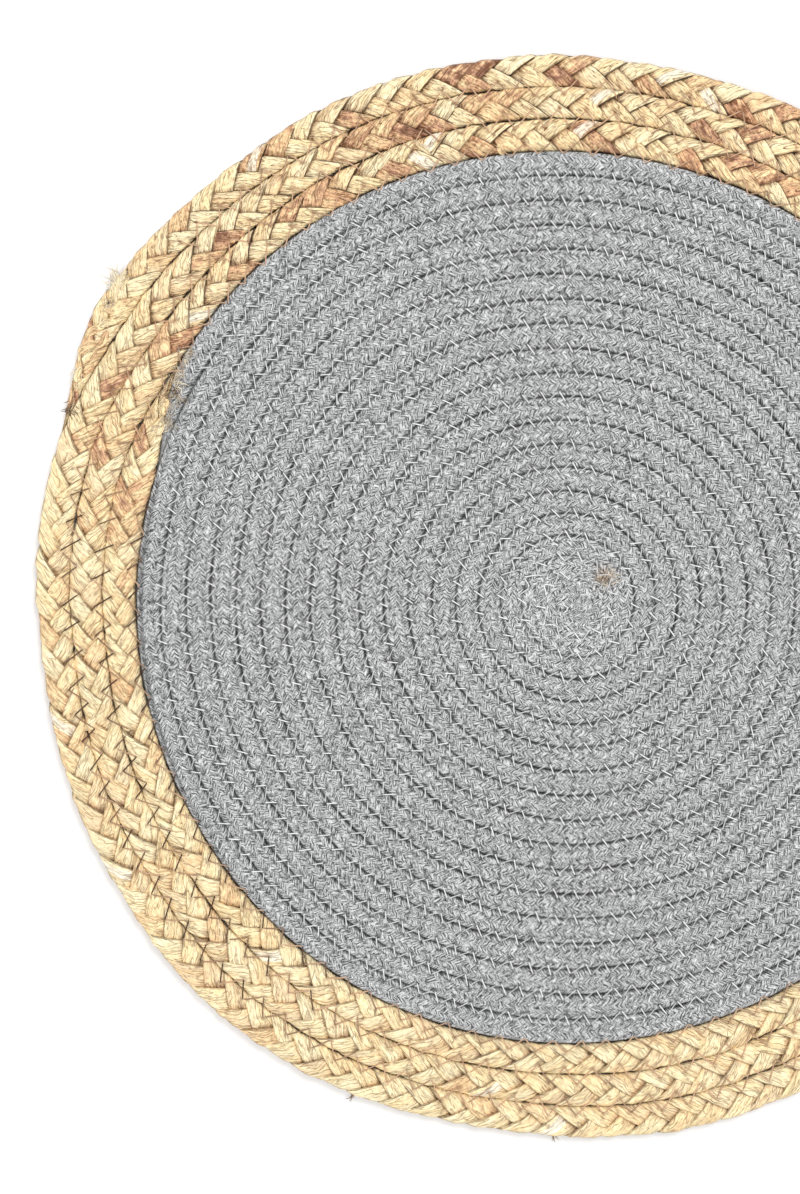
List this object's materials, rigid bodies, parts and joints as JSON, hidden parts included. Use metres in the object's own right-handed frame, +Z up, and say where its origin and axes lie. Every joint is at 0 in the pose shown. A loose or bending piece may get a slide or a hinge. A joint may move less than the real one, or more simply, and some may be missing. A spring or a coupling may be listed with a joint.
{
  "type": "round placemat",
  "caption": "Round table mat: a grey cotton cord coiled flat and sewn, inside a border of plaited straw laid round it in a spiral.",
  "frame": {"origin": "middle of the underside's bounding box, on the surface the mat lies on", "axes": "+Z up, out of the mat's upper side; +Y towards the top of the picture, +X towards its right"},
  "size_m": [0.3788, 0.3804, 0.0064],
  "materials": {
    "cotton_cord": "heather grey braided cotton cord, matte, sewn with fine off-white thread",
    "straw_plait": "dried flat leaf plaited in three strands, pale straw to tan and brown, satin, sewn with fine tan thread"
  },
  "bodies": {
    "root": {"cotton_coil": "cotton_cord", "straw_braid": "straw_plait"}
  },
  "joints": []
}
